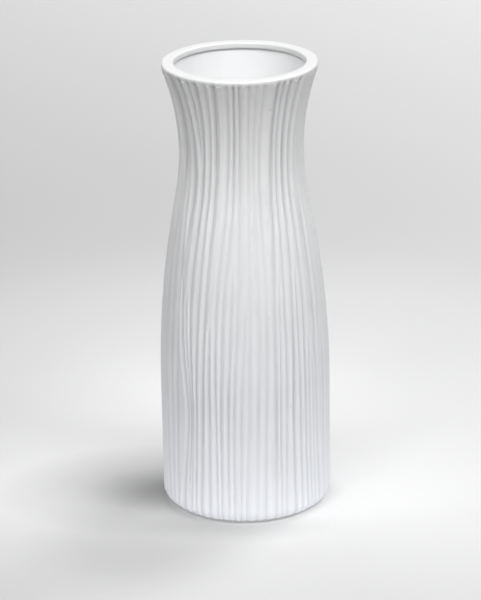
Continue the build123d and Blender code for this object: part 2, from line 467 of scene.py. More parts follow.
class NodeSheet:
    """A node tree with short calls that add nodes and join them."""

    def __init__(self, tree: bpy.types.NodeTree) -> None:
        """Keep the tree that the nodes go into."""
        self.tree = tree

    def add(self, kind: str, inputs: Inputs | None = None, **settings: object) -> bpy.types.Node:
        """Add a node.

        Args:
            kind: Blender's name of the node's type.
            inputs: Values or other nodes' output sockets, by input name or number.
            settings: Properties of the node.

        Returns:
            The node.
        """
        node = self.tree.nodes.new(kind)
        for name, value in settings.items():
            setattr(node, name, value)
        self.feed(node, inputs or {})
        return node

    def feed(self, node: bpy.types.Node, inputs: Inputs) -> None:
        """Set or join a node's inputs.

        Args:
            node: The node.
            inputs: Values or other nodes' output sockets, by input name or number.
        """
        for key, value in inputs.items():
            if isinstance(value, Socket):
                self.tree.links.new(value, node.inputs[key])
            else:
                node.inputs[key].default_value = value

    def get(self, output: str | int, kind: str, inputs: Inputs | None = None, **settings: object) -> Socket:
        """Add a node and return one of its outputs."""
        return self.add(kind, inputs, **settings).outputs[output]

    def math(self, operation: str, first: Input, second: Input = 0.0) -> Socket:
        """Add a Math node and return its result."""
        return self.get(0, "ShaderNodeMath", {0: first, 1: second}, operation=operation)

    def vector(self, operation: str, first: Input, second: Input) -> Socket:
        """Add a Vector Math node and return its vector."""
        return self.get(0, "ShaderNodeVectorMath", {0: first, 1: second}, operation=operation)

    def distance(self, place: Socket, centre: Point = (0.0, 0.0, 0.0)) -> Socket:
        """Add a Vector Math node that measures how far a place is from a centre."""
        return self.get("Value", "ShaderNodeVectorMath", {0: place, 1: centre}, operation="DISTANCE")

    def bump(self, strength: float, depth: float, height: Socket) -> Socket:
        """Add a Bump node and return its normal."""
        return self.get(0, "ShaderNodeBump", {"Strength": strength, "Distance": depth, "Height": height})

    def blend(self, share: Socket, first: Input, second: Input) -> Socket:
        """Add a colour mix and return its result."""
        return self.get(2, "ShaderNodeMix", {0: share, 6: first, 7: second}, data_type="RGBA")

    def fit(self, value: Socket, low: float, high: float, to: Pair) -> Socket:
        """Add a Map Range from low and high to two new ends and return its result."""
        return self.get(0, "ShaderNodeMapRange", {0: value, 1: low, 2: high, 3: to[0], 4: to[1]})

    def noise(self, place: Socket, scale: Input, detail: float) -> Socket:
        """Add a Noise Texture and return its value."""
        return self.get(0, "ShaderNodeTexNoise", {"Vector": place, "Scale": scale, "Detail": detail})

    def tones(self, share: Socket, stops: Stops) -> Socket:
        """Add a ramp of grey tones.

        Args:
            share: Where on the ramp the tone is read, from 0 to 1.
            stops: Place and grey level of each stop.

        Returns:
            The tone's colour.
        """
        ramp = self.add("ShaderNodeValToRGB", {0: share})
        ramp.color_ramp.interpolation = "B_SPLINE"
        while len(ramp.color_ramp.elements) < len(stops):
            ramp.color_ramp.elements.new(0.5)
        for element, (position, level) in zip(ramp.color_ramp.elements, stops):
            element.position = position
            element.color = (level, level, level, 1.0)
        return ramp.outputs[0]

    def seen(self) -> Socket:
        """Tell where the background is seen, in a reflection too, from where it only gives light.

        Returns:
            1 where it is seen and 0 elsewhere.
        """
        path = self.add("ShaderNodeLightPath").outputs
        plain = self.math("MAXIMUM", path["Is Camera Ray"], path["Is Glossy Ray"])
        return self.math("MAXIMUM", plain, path["Is Transmission Ray"])

    def place(self) -> Socket:
        """Add a Texture Coordinate node and return the place on the piece."""
        return self.get("Object", "ShaderNodeTexCoord")

    def height(self, place: Socket) -> Socket:
        """Add a Separate XYZ node and return a place's height."""
        return self.get(2, "ShaderNodeSeparateXYZ", {0: place})


NewGroup = tuple[NodeSheet, bpy.types.Node, bpy.types.Node]


def new_group(name: str, inputs: dict[str, str], outputs: dict[str, str]) -> NewGroup:
    """Make an empty shader node group with its sockets.

    Args:
        name: Name of the group.
        inputs: Socket types by name.
        outputs: Socket types by name.

    Returns:
        The group's sheet, its input node and its output node.
    """
    tree = bpy.data.node_groups.new(name, "ShaderNodeTree")
    for label, kind in inputs.items():
        tree.interface.new_socket(label, in_out="INPUT", socket_type=kind)
    for label, kind in outputs.items():
        tree.interface.new_socket(label, in_out="OUTPUT", socket_type=kind)
    sheet = NodeSheet(tree)
    return sheet, sheet.add("NodeGroupInput"), sheet.add("NodeGroupOutput")


FLOAT, VECTOR, COLOR = "NodeSocketFloat", "NodeSocketVector", "NodeSocketColor"
GLAZE_MARKS = ("Streak", "Pinhole", "Cloud")  # what the clay's surface hands on to the glaze


@dataclass(frozen=True)
class ClaySurface:
    """Fine combed streaks, rare pinholes and broad clouds at a place on the clay.

    Attributes:
        comb: Scale of the streaks' pattern, which is drawn out along the axis.
        streak_detail: How many finer layers the streaks have.
        pinhole_edge: Distances from a pinhole's middle at which it starts and has ended.
        rarity: Share of the pattern's cells that have no pinhole.
        cloud_scale: Scale of the clouds.
        cloud_detail: How many finer layers the clouds have.
        streak_height: Height of the streaks in the relief.
        pinhole_height: Height of the pinholes in the relief.
    """

    comb: Point = (1.0, 1.0, 0.035)
    streak_detail: float = 3.0
    pinhole_edge: Pair = (0.05, 0.11)
    rarity: float = 0.82
    cloud_scale: float = 28.0
    cloud_detail: float = 2.0
    streak_height: float = 0.6
    pinhole_height: float = -0.5

    def group(self) -> bpy.types.NodeTree:
        """Build the node group.

        Returns:
            The group.
        """
        sheet, given, out = new_group(
            "ClaySurface",
            {"Place": VECTOR, "Streaks": FLOAT, "Pinholes": FLOAT, "Show": FLOAT},
            {"Streak": FLOAT, "Pinhole": FLOAT, "Cloud": FLOAT, "Height": FLOAT},
        )
        place, show = given.outputs["Place"], given.outputs["Show"]
        along = sheet.get(0, "ShaderNodeMapping", {"Vector": place, "Scale": self.comb})
        combed = sheet.noise(along, given.outputs["Streaks"], self.streak_detail)
        streak = sheet.math("MULTIPLY", combed, show)
        cells = sheet.add("ShaderNodeTexVoronoi", {"Vector": place, "Scale": given.outputs["Pinholes"]})
        dot = sheet.fit(cells.outputs["Distance"], *self.pinhole_edge, (1.0, 0.0))
        chance = sheet.get(0, "ShaderNodeSeparateColor", {0: cells.outputs["Color"]})
        rare = sheet.math("GREATER_THAN", chance, self.rarity)
        pinhole = sheet.math("MULTIPLY", sheet.math("MULTIPLY", dot, rare), show)
        cloud = sheet.noise(place, self.cloud_scale, self.cloud_detail)
        low = sheet.math("MULTIPLY", pinhole, self.pinhole_height)
        height = sheet.math("ADD", sheet.math("MULTIPLY", streak, self.streak_height), low)
        sheet.feed(out, {"Streak": streak, "Pinhole": pinhole, "Cloud": cloud, "Height": height})
        return sheet.tree


@dataclass(frozen=True)
class GlazeTone:
    """How the glaze thins on ridges, pools in grooves, takes painted shade in the grooves and changes its
    gloss.

    Attributes:
        pooled_and_shade: Share of the dark colour in the deepest grooves, partly pooled glaze and partly
            painted shade.
        streaked: Share of it in the strongest streaks.
        spotted: Share of it in pinholes.
        clouded: Share of it in clouds.
        streak_span: Streak values between which the streaks' colour comes in.
        cloud_span: Cloud values between which the clouds' colour comes in.
        gloss_span: Streak values between which the gloss changes.
        roughness: Roughness at both ends of that span.
    """

    pooled_and_shade: float = 0.6
    streaked: float = 0.28
    spotted: float = 0.45
    clouded: float = 0.12
    streak_span: Pair = (0.45, 0.8)
    cloud_span: Pair = (0.4, 0.7)
    gloss_span: Pair = (0.3, 0.75)
    roughness: Pair = (0.36, 0.54)

    def group(self) -> bpy.types.NodeTree:
        """Build the node group.

        Returns:
            The group.
        """
        sheet, given, out = new_group(
            "GlazeTone",
            {"Glaze": COLOR, "PooledAndShade": COLOR, **dict.fromkeys(("Groove", *GLAZE_MARKS), FLOAT)},
            {"Color": COLOR, "Roughness": FLOAT},
        )
        streak, cloud = given.outputs["Streak"], given.outputs["Cloud"]
        # Grooves take the dark colour by depth: partly pooled glaze, partly painted shade.
        pooled_and_shade = sheet.math("MULTIPLY", given.outputs["Groove"], self.pooled_and_shade)
        streaked = sheet.math("MULTIPLY", sheet.fit(streak, *self.streak_span, (0.0, 1.0)), self.streaked)
        spotted = sheet.math("MULTIPLY", given.outputs["Pinhole"], self.spotted)
        clouded = sheet.math("MULTIPLY", sheet.fit(cloud, *self.cloud_span, (0.0, 1.0)), self.clouded)
        share = sheet.math("MAXIMUM", sheet.math("MAXIMUM", pooled_and_shade, streaked), spotted)
        share = sheet.get(0, "ShaderNodeClamp", {0: sheet.math("ADD", share, clouded)})
        color = sheet.blend(share, given.outputs["Glaze"], given.outputs["PooledAndShade"])
        rough = sheet.fit(streak, *self.gloss_span, self.roughness)
        sheet.feed(out, {"Color": color, "Roughness": rough})
        return sheet.tree


@dataclass(frozen=True)
class Finishes:
    """The node groups that the finishes share.

    Attributes:
        clay: Group of the clay's surface.
        tone: Group of the glaze's colour and gloss.
    """

    clay: bpy.types.NodeTree
    tone: bpy.types.NodeTree

    @classmethod
    def build(cls) -> "Finishes":
        """Make both groups."""
        return cls(clay=ClaySurface().group(), tone=GlazeTone().group())


def new_material(name: str) -> tuple[Material, NodeSheet, bpy.types.Node]:
    """Make a material with a Principled BSDF.

    Args:
        name: Name of the material.

    Returns:
        The material, its sheet and its shader.
    """
    material = bpy.data.materials.new(name)
    material.use_nodes = True
    sheet = NodeSheet(material.node_tree)
    return material, sheet, material.node_tree.nodes["Principled BSDF"]


@dataclass(frozen=True)
class Glaze:
    """Satin white glaze over clay.

    Attributes:
        name: Name of the material.
        color: Colour where it lies thin.
        run: Colour towards the foot, where it has run down thicker.
        pooled_and_shade: Colour where it runs together, which in the grooves and inside is also painted
            shade.
        run_height: Height up to which the thicker glaze shows.
        grained: Whether the piece carries the wood grain's attributes.
        streaks: Scale of the fine streaks.
        pinholes: Scale of the pinholes.
        show: How strongly streaks and pinholes show on a piece without the grain.
        relief: Depth of the fine surface, in metres.
        bump: Strength of the fine surface.
        coat: Weight of the clear coat.
        coat_roughness: Roughness of the clear coat.
    """

    name: str
    color: Rgba = (0.87, 0.87, 0.87, 1.0)
    run: Rgba = (0.845, 0.862, 0.902, 1.0)
    pooled_and_shade: Rgba = (0.60, 0.61, 0.63, 1.0)
    run_height: float = 210.0 * MM
    grained: bool = False
    streaks: float = 520.0
    pinholes: float = 150.0
    show: float = 0.4
    relief: float = 0.12 * MM
    bump: float = 0.6
    coat: float = 0.12
    coat_roughness: float = 0.25

    def material(self, finishes: Finishes) -> Material:
        """Build the material.

        Args:
            finishes: The shared node groups.

        Returns:
            The finished material.
        """
        material, sheet, shader = new_material(self.name)
        groove: Input = 0.0
        show: Input = self.show
        if self.grained:
            place = sheet.get("Vector", "ShaderNodeAttribute", attribute_name=FlutedWall.PLACE)
            groove = sheet.get("Fac", "ShaderNodeAttribute", attribute_name=FlutedWall.GROOVE)
            show = sheet.get("Fac", "ShaderNodeAttribute", attribute_name=FlutedWall.OUTSIDE)
        else:
            place = sheet.place()
        clay = sheet.add(
            "ShaderNodeGroup",
            {"Place": place, "Streaks": self.streaks, "Pinholes": self.pinholes, "Show": show},
            node_tree=finishes.clay,
        ).outputs
        thicker = sheet.fit(sheet.height(place), 0.0, self.run_height, (1.0, 0.0))
        glaze = sheet.blend(thicker, self.color, self.run)
        given = {"Glaze": glaze, "PooledAndShade": self.pooled_and_shade, "Groove": groove}
        given.update({mark: clay[mark] for mark in GLAZE_MARKS})
        tone = sheet.add("ShaderNodeGroup", given, node_tree=finishes.tone).outputs
        sheet.feed(shader, {
            "Base Color": tone["Color"],
            "Roughness": tone["Roughness"],
            "Normal": sheet.bump(self.bump, self.relief, clay["Height"]),
            "Coat Weight": self.coat,
            "Coat Roughness": self.coat_roughness,
        })
        return material


WALL_GLAZE = Glaze("WallGlaze", grained=True)
# The lip is the wall's white glaze set darker, 0.80 against 0.87: painted shade, so that its top, which
# faces the lamps, does not burn out to white.
SHADED_LIP_GLAZE = Glaze("LipGlazePaintedShade", color=(0.80, 0.80, 0.80, 1.0), streaks=90.0)
SEAM_GLAZE = Glaze("SeamGlaze", color=(0.84, 0.84, 0.84, 1.0), streaks=200.0)


@dataclass(frozen=True)
class GlazedFloor:
    """White glaze above and bare fired clay below.

    Attributes:
        change: Height of the line between them.
        glaze: Colour of the glaze.
        clay: Colour of the clay.
        grog: Colour of the coarse grains in the clay.
        streaks: Scale of the fine streaks.
        pinholes: Scale of the grains.
        clouded: Share of the grains' colour in clouds.
        blur: Half the width of the line between glaze and clay.
        roughness: Roughness of the clay and of the glaze.
        bump: Strength of the fine surface.
        relief: Depth of the fine surface, in metres.
    """

    change: float
    glaze: Rgba = (0.82, 0.82, 0.81, 1.0)
    clay: Rgba = (0.62, 0.56, 0.48, 1.0)
    grog: Rgba = (0.44, 0.37, 0.30, 1.0)
    streaks: float = 300.0
    pinholes: float = 420.0
    clouded: float = 0.5
    blur: float = 0.4 * MM
    roughness: Pair = (0.85, 0.42)
    bump: float = 0.7
    relief: float = 0.15 * MM

    def material(self, finishes: Finishes) -> Material:
        """Build the material.

        Args:
            finishes: The shared node groups.

        Returns:
            The finished material.
        """
        material, sheet, shader = new_material("FloorClay")
        place = sheet.place()
        clay = sheet.add(
            "ShaderNodeGroup",
            {"Place": place, "Streaks": self.streaks, "Pinholes": self.pinholes, "Show": 1.0},
            node_tree=finishes.clay,
        ).outputs
        clouds = sheet.math("MULTIPLY", clay["Cloud"], self.clouded)
        bare = sheet.blend(sheet.math("MAXIMUM", clay["Pinhole"], clouds), self.clay, self.grog)
        low, high = self.change - self.blur, self.change + self.blur
        above = sheet.fit(sheet.height(place), low, high, (0.0, 1.0))
        sheet.feed(shader, {
            "Base Color": sheet.blend(above, bare, self.glaze),
            "Roughness": sheet.fit(above, 0.0, 1.0, self.roughness),
            "Normal": sheet.bump(self.bump, self.relief, clay["Height"]),
        })
        return material


@dataclass(frozen=True)
class PadRubber:
    """Matt pale silicone with a little dust.

    Attributes:
        color: Colour of the silicone.
        dust: Colour of the dust.
        specks: Scale of the specks of dust.
        speck_detail: How many finer layers the specks have.
        dust_span: Speck values between which the dust's colour comes in.
        matt_span: Speck values between which the roughness changes.
        roughness: Roughness at both ends of that span.
        bump: Strength of the fine surface.
        relief: Depth of the fine surface, in metres.
    """

    color: Rgba = (0.72, 0.72, 0.70, 1.0)
    dust: Rgba = (0.52, 0.51, 0.49, 1.0)
    specks: float = 900.0
    speck_detail: float = 4.0
    dust_span: Pair = (0.45, 0.75)
    matt_span: Pair = (0.3, 0.7)
    roughness: Pair = (0.55, 0.8)
    bump: float = 0.4
    relief: float = 0.05 * MM

    def material(self) -> Material:
        """Build the material.

        Returns:
            The finished material.
        """
        material, sheet, shader = new_material("PadRubber")
        specks = sheet.noise(sheet.place(), self.specks, self.speck_detail)
        dusty = sheet.fit(specks, *self.dust_span, (0.0, 1.0))
        sheet.feed(shader, {
            "Base Color": sheet.blend(dusty, self.color, self.dust),
            "Roughness": sheet.fit(specks, *self.matt_span, self.roughness),
            "Normal": sheet.bump(self.bump, self.relief, specks),
        })
        return material


def arc(centre: Pair, radius: float, start: float, end: float, steps: int) -> list[Pair]:
    """Points of an arc in the half section, ends included.

    Args:
        centre: Radius and height of the arc's centre.
        radius: Radius of the arc.
        start: Angle of the first point, in degrees from outwards, up.
        end: Angle of the last point.
        steps: Number of steps between them.

    Returns:
        Radius and height of each point.
    """
    angles = [math.radians(start + (end - start) * step / steps) for step in range(steps + 1)]
    return [(centre[0] + radius * math.cos(a), centre[1] + radius * math.sin(a)) for a in angles]


def spun_ring(section: list[Pair], columns: int, sectors: int = 8) -> BMesh:
    """Spin a closed half section about the vase's axis.

    One sector is spun and then copied round, because a long spin is slow.

    Args:
        section: Radius and height of each corner, in order.
        columns: Number of steps round, a multiple of the sectors.
        sectors: Number of sectors in the full turn.

    Returns:
        A closed ring with its normals outwards.
    """
    bm = bmesh.new()
    corners = [bm.verts.new((0.0, -radius, z)) for radius, z in section]
    sides = [bm.edges.new(pair) for pair in zip(corners, [*corners[1:], corners[0]])]
    bmesh.ops.spin(
        bm, geom=[*corners, *sides], axis=(0.0, 0.0, 1.0), cent=(0.0, 0.0, 0.0),
        angle=math.tau / sectors, steps=columns // sectors,
    )
    sector = [*bm.verts, *bm.edges, *bm.faces]
    for index in range(1, sectors):
        copied = bmesh.ops.duplicate(bm, geom=sector)["geom"]
        bmesh.ops.rotate(
            bm, verts=[part for part in copied if isinstance(part, bmesh.types.BMVert)],
            cent=(0.0, 0.0, 0.0), matrix=Matrix.Rotation(math.tau * index / sectors, 3, "Z"),
        )
    bmesh.ops.remove_doubles(bm, verts=bm.verts, dist=MERGE)
    bmesh.ops.recalc_face_normals(bm, faces=bm.faces)
    return bm


def polar(place: Vector) -> Point:
    """Degrees round from the front to the right, radius and height of a point."""
    return math.degrees(math.atan2(place.x, -place.y)), math.hypot(place.x, place.y), place.z


def at_angle(angle: float, radius: float, z: float) -> Vector:
    """Point at an angle round from the front, in degrees."""
    turn = math.radians(angle)
    return Vector((radius * math.sin(turn), -radius * math.cos(turn), z))


def set_piece(bm: BMesh, name: str, material: Material, node: str) -> None:
    """Turn a bmesh into a piece that stands for a CAD node.

    Args:
        bm: The mesh, which is freed.
        name: Name of the piece.
        material: Its finish.
        node: The CAD node that it replaces.
    """
    mesh = bpy.data.meshes.new(name)
    bm.to_mesh(mesh)
    bm.free()
    mesh.shade_smooth()
    mesh.set_sharp_from_angle(angle=math.radians(CREASE))
    mesh.materials.append(material)
    piece = bpy.data.objects.new(name, mesh)
    bpy.context.scene.collection.objects.link(piece)
    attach(piece, BODY)
    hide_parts(node)
    LOG.info("%s: %d faces for %s", name, len(mesh.polygons), node)


@dataclass
class FlutedWall:
    """The grooved wall.

    Attributes:
        outline: The wall's outline.
        grain: The grooves.
        columns: Steps round the wall.
        rows: Steps up the outside.
        inner_rows: Steps up the inside.
        foot_steps: Steps round the foot's edge.
        inside_painted_shade: How much the glaze inside looks as it does in a groove: painted shade inside
            the vase, with a little pooled glaze.
        slip: Gap beside the floor and the coil, which slip fills.
        PLACE: Attribute with a point's place before the grooves are pressed.
        GROOVE: Attribute with the groove's depth, as a share of the deepest, or the inside's share of
            painted shade. The glaze darkens with it, partly as pooled glaze and partly as painted shade.
        OUTSIDE: Attribute that is 1 on the outside and 0 elsewhere.
        TOLERANCE: How far a point may lie beside the outline and still count as on it.
        ROW_STEP: Points whose heights differ by less than this are in one row.
    """

    outline: Outline
    grain: WoodGrain
    columns: int = 672
    rows: int = 108
    inner_rows: int = 20
    foot_steps: int = 7
    inside_painted_shade: float = 0.38
    slip: float = 0.2 * MM

    PLACE = "grain_place"
    GROOVE = "groove"
    OUTSIDE = "outside"
    TOLERANCE = 0.1 * MM
    ROW_STEP = 0.01 * MM

    def section(self) -> list[Pair]:
        """Draw the closed half section.

        Returns:
            Radius and height of the corners of the foot, the outside, the inside and the floor's rebate.
        """
        line = self.outline
        _, disc_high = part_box("floor_disc")
        coil_low, coil_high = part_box("seam_coil")
        rebate = disc_high.x + self.slip
        ledge = coil_high.x + self.slip
        cavity = line.body - line.wall
        slope_top = coil_high.z + cavity - ledge
        foot_edge = line.foot + line.foot_round
        foot_centre = (line.body - line.foot_round, foot_edge)
        outside = arc(foot_centre, line.foot_round, -90.0, 0.0, self.foot_steps)
        for step in range(1, self.rows + 1):
            z = foot_edge + (line.seat - foot_edge) * step / self.rows
            outside.append((line.radius(z), z))
        inside = []
        for step in range(self.inner_rows + 1):
            z = line.seat + (slope_top - line.seat) * step / self.inner_rows
            inside.append((line.radius(z, line.wall), z))
        rim = [(ledge, coil_high.z), (ledge, coil_low.z), (rebate, coil_low.z), (rebate, line.foot)]
        return [*outside, *inside, *rim]

    def row_at(self, z: float, radius: float) -> GrainRow:
        """The grain's row at a height."""
        return GrainRow(self.grain.reference(), self.grain.notches(self.outline.share(z), z, radius))

    def is_outside(self, radius: float, z: float) -> bool:
        """Tell the outside from the inside.

        Args:
            radius: Radius of a point of the section.
            z: Its height.

        Returns:
            Whether it lies on the outside or on the foot's round.
        """
        line = self.outline
        if z < line.foot + line.foot_round:
            return radius > line.body - line.foot_round - self.TOLERANCE
        return radius > line.radius(z, line.wall / 2)

    def carve(self, bm: BMesh) -> None:
        """Lead the outside's columns along the grain and press the grooves into it.

        Args:
            bm: The spun wall.
        """
        place_layer = bm.verts.layers.float_vector.new(self.PLACE)
        groove_layer = bm.verts.layers.float.new(self.GROOVE)
        outside_layer = bm.verts.layers.float.new(self.OUTSIDE)
        known: dict[int, GrainRow] = {}
        for vert in bm.verts:
            column, radius, z = polar(vert.co)
            vert[place_layer] = vert.co
            # Off the outside, the glaze takes part of the groove colour: painted shade inside the vase.
            vert[groove_layer] = self.inside_painted_shade
            if not self.is_outside(radius, z):
                continue
            key = round(z / self.ROW_STEP)
            if key not in known:
                known[key] = self.row_at(z, radius)
            angle = known[key].lead(column)
            depth = known[key].depth(angle)
            vert.co = at_angle(angle, radius - depth - self.grain.dip(column, z), z)
            # The groove's depth share darkens the glaze there: partly pooled glaze, partly painted shade.
            vert[groove_layer] = min(max(depth / self.grain.depth, 0.0), 1.0)
            vert[outside_layer] = 1.0

    def build(self, finish: Material) -> None:
        """Build the wall and dress it.

        Args:
            finish: The glaze.
        """
        bm = spun_ring(self.section(), self.columns)
        self.carve(bm)
        set_piece(bm, "fluted_wall_glazed", finish, "fluted_wall")


@dataclass
class LipRing:
    """The plain lip, rounded over, with the flutes running out on its underside.

    Attributes:
        wall: The wall that it lies on.
        columns: Steps round the lip.
        bead: Radius of its outer face, which swells out of the wall.
        outer_round: Radius of its outer upper edge.
        inner_round: Radius of its inner upper edge.
        inner_low_round: Radius of its inner lower edge.
        undercut: How far it overhangs the wall inside.
        unevenness: How much a hand-smoothed rim rises and falls.
        wave_scale: Scale of that rise and fall.
        flute_share: Share of their depth that the flutes have at its lower edge.
        steps: Steps round the outer face and the three edges, in order.
    """

    wall: FlutedWall
    columns: int = 448
    bead: float = 5.5 * MM
    outer_round: float = 1.25 * MM
    inner_round: float = 0.9 * MM
    inner_low_round: float = 0.35 * MM
    undercut: float = 1.6 * MM
    unevenness: float = 0.10 * MM
    wave_scale: float = 40.0
    flute_share: float = 0.8
    steps: tuple[int, int, int, int] = (6, 7, 6, 3)

    def section(self) -> list[Pair]:
        """Draw the closed half section.

        Returns:
            Radius and height of its corners.
        """
        line = self.wall.outline
        _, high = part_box("lip_ring")
        outer, top, seat = high.x, high.z, line.seat
        inner = line.radius(seat, line.wall) - self.undercut
        bead, big, small, low = self.bead, self.outer_round, self.inner_round, self.inner_low_round
        lean = math.degrees(math.asin((top - big - seat) / bead))
        face_steps, big_steps, small_steps, low_steps = self.steps
        return [
            *arc((outer - bead, top - big), bead, -lean, 0.0, face_steps),
            *arc((outer - big, top - big), big, 0.0, 90.0, big_steps)[1:],
            *arc((inner + small, top - small), small, 90.0, 180.0, small_steps),
            *arc((inner + low, seat + low), low, 180.0, 270.0, low_steps),
        ]

    def smooth_by_hand(self, bm: BMesh) -> None:
        """Let the rim wave a little and run the flutes out over its lower edge.

        Args:
            bm: The spun lip.
        """
        line = self.wall.outline
        row = self.wall.row_at(line.seat, line.radius(line.seat))
        _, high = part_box("lip_ring")
        for vert in bm.verts:
            angle, radius, z = polar(vert.co)
            spot = vert.co * self.wave_scale
            up = min(max((z - line.seat) / (high.z - line.seat), 0.0), 1.0)
            if radius > line.radius(line.seat, line.wall / 2):
                radius -= self.flute_share * max(row.depth(angle), 0.0) * (1.0 - up) ** 2
            wave = self.unevenness * up * (noise.noise(spot) - 1.0) / 2
            vert.co = at_angle(angle, radius + wave, z + wave)

    def build(self, finish: Material) -> None:
        """Build the lip and dress it.

        Args:
            finish: The glaze.
        """
        bm = spun_ring(self.section(), self.columns)
        self.smooth_by_hand(bm)
        set_piece(bm, "lip_ring_glazed", finish, "lip_ring")


@dataclass
class SeamCoil:
    """The coil that is smoothed into the corner over the floor's seam, with thumb marks.

    Attributes:
        columns: Steps round the coil.
        marks: Number of thumb marks.
        mark_depth: Depth of a thumb mark.
        hollow_steps: Steps round its hollow face.
        clear: Distance from its hidden faces past which it is pressed.
    """

    columns: int = 240
    marks: int = 22
    mark_depth: float = 0.35 * MM
    hollow_steps: int = 8
    clear: float = 0.05 * MM

    def build(self, finish: Material) -> None:
        """Build the coil and dress it.

        Args:
            finish: The glaze.
        """
        low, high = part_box("seam_coil")
        width = high.z - low.z
        hollow = arc((high.x - width, low.z + width), width, 0.0, -90.0, self.hollow_steps)
        bm = spun_ring([(high.x, low.z), *hollow], self.columns)
        for vert in bm.verts:
            angle, radius, z = polar(vert.co)
            if radius < high.x - self.clear and z > low.z + self.clear:
                press = self.mark_depth * (0.5 - 0.5 * math.cos(math.radians(angle * self.marks)))
                share = (radius - (high.x - width)) / width
                push = press * share * (1.0 - share)
                vert.co = at_angle(angle, radius + push, z - push)
        set_piece(bm, "seam_coil_glazed", finish, "seam_coil")


@dataclass
class FootPads:
    """The three pads under the floor.

    Attributes:
        count: Number of pads.
        radius: Radius of a pad.
        edge: Radius of the rounded lower edge.
        segments: Steps round a pad.
        edge_steps: Steps round its lower edge.
    """

    count: int = 3
    radius: float = 5.5 * MM
    edge: float = 0.45 * MM
    segments: int = 48
    edge_steps: int = 4

    def build(self, finish: Material) -> None:
        """Build the pads and dress them.

        Args:
            finish: The silicone.
        """
        low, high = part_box("foot_pads")
        height = high.z - low.z
        circle = high.y - self.radius
        middle = low.z + height / 2
        bm = bmesh.new()
        for index in range(self.count):
            place = at_angle(180.0 + 360.0 * index / self.count, circle, middle)
            bmesh.ops.create_cone(
                bm, cap_ends=True, cap_tris=False, segments=self.segments, radius1=self.radius,
                radius2=self.radius, depth=height, matrix=Matrix.Translation(place),
            )
        lower = [edge for edge in bm.edges if all(vert.co.z < middle for vert in edge.verts)]
        bmesh.ops.bevel(
            bm, geom=lower, offset=self.edge, offset_type="OFFSET", affect="EDGES",
            segments=self.edge_steps, profile=0.5, material=-1,
        )
        bmesh.ops.recalc_face_normals(bm, faces=bm.faces)
        set_piece(bm, "foot_pads_rubber", finish, "foot_pads")


@dataclass(frozen=True)
class Lamp:
    """A soft rectangular lamp.

    Attributes:
        name: Its name.
        place: Where it hangs.
        size: Width and height.
        power: Watts.
        aim: What it points at.
        gloss: Whether glossy surfaces mirror it.
    """

    name: str
    place: Point
    size: Pair
    power: float
    aim: Point = (0.0, 0.0, 0.12)
    gloss: bool = True

    def hang(self) -> None:
        """Put the lamp into the scene."""
        light = bpy.data.lights.new(self.name, "AREA")
        light.shape = "RECTANGLE"
        light.size, light.size_y = self.size
        light.energy = self.power
        lamp = bpy.data.objects.new(self.name, light)
        lamp.location = self.place
        ahead = Vector(self.aim) - Vector(self.place)
        lamp.rotation_euler = ahead.to_track_quat("-Z", "Y").to_euler()
        lamp.visible_camera = False
        lamp.visible_glossy = self.gloss
        bpy.context.scene.collection.objects.link(lamp)


@dataclass(frozen=True)
class PaintedShadow:
    """A painted shadow: a soft dark patch painted into the floor's colour, beside the lamps' own shadows.

    Attributes:
        centre: Its middle.
        stretch: How many times faster it fades along X, Y and Z.
        reach: How far it goes where it isn't stretched.
        tones: Place and grey level of each stop from the middle out.
    """

    centre: Point
    stretch: Point
    reach: float
    tones: Stops


